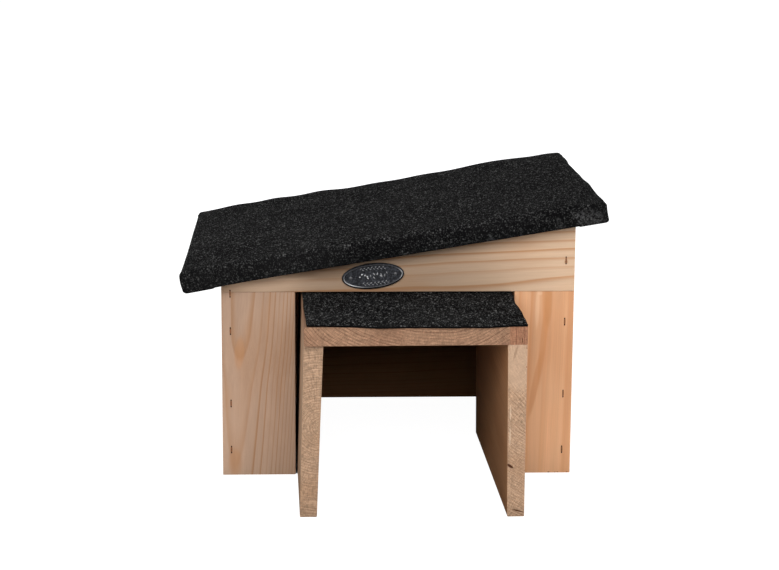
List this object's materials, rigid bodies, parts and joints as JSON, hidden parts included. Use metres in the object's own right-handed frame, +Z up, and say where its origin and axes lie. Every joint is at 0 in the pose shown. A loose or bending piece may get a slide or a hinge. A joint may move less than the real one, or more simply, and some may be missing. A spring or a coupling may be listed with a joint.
{
  "type": "hedgehog house",
  "caption": "Wooden hedgehog shelter with a sloping felted roof that lifts off, an open base and a loose entrance tunnel in the doorway.",
  "frame": {"origin": "on the ground, under the middle of the whole object with the tunnel in place", "axes": "+Z up, -Y out of the entrance, +X to the right seen from the front, up the slope of the roof"},
  "size_m": [0.4058, 0.4728, 0.2714],
  "materials": {
    "wood": "planed softwood, untreated",
    "pale_wood": "planed softwood, untreated, paler",
    "felt": "mineral-faced bitumen roofing felt",
    "steel": "lacquered staple wire, browned",
    "pewter": "dark cast zinc alloy with rubbed rim"
  },
  "bodies": {
    "house": {"front_lintel": "wood", "front_left_board": "wood", "front_right_board": "pale_wood", "left_side_board": "wood", "left_side_strip": "wood", "right_side_board": "pale_wood", "right_side_upper_board": "wood", "back_lower_board": "wood", "back_upper_board": "wood", "front_staples": "steel", "back_staples": "steel", "badge_plate": "pewter", "badge_pins": "pewter"},
    "roof": {"roof_front_board": "wood", "roof_back_board": "wood", "roof_left_batten": "pale_wood", "roof_right_batten": "pale_wood", "batten_staples": "steel", "roof_felt": "felt", "felt_staples": "steel"},
    "tunnel": {"tunnel_left_wall": "wood", "tunnel_right_wall": "wood", "tunnel_roof_board": "pale_wood", "tunnel_roof_strip": "wood", "tunnel_staples": "steel", "tunnel_felt": "felt"}
  },
  "joints": [
    {"name": "roof_lift", "type": "slide", "parent": "house", "child": "roof", "axis": [0, 0, 1], "range_m": [0, 0.15]},
    {"name": "tunnel_slide", "type": "slide", "parent": "house", "child": "tunnel", "axis": [0.0157, -0.9999, 0], "range_m": [-0.136, 0.17]}
  ]
}
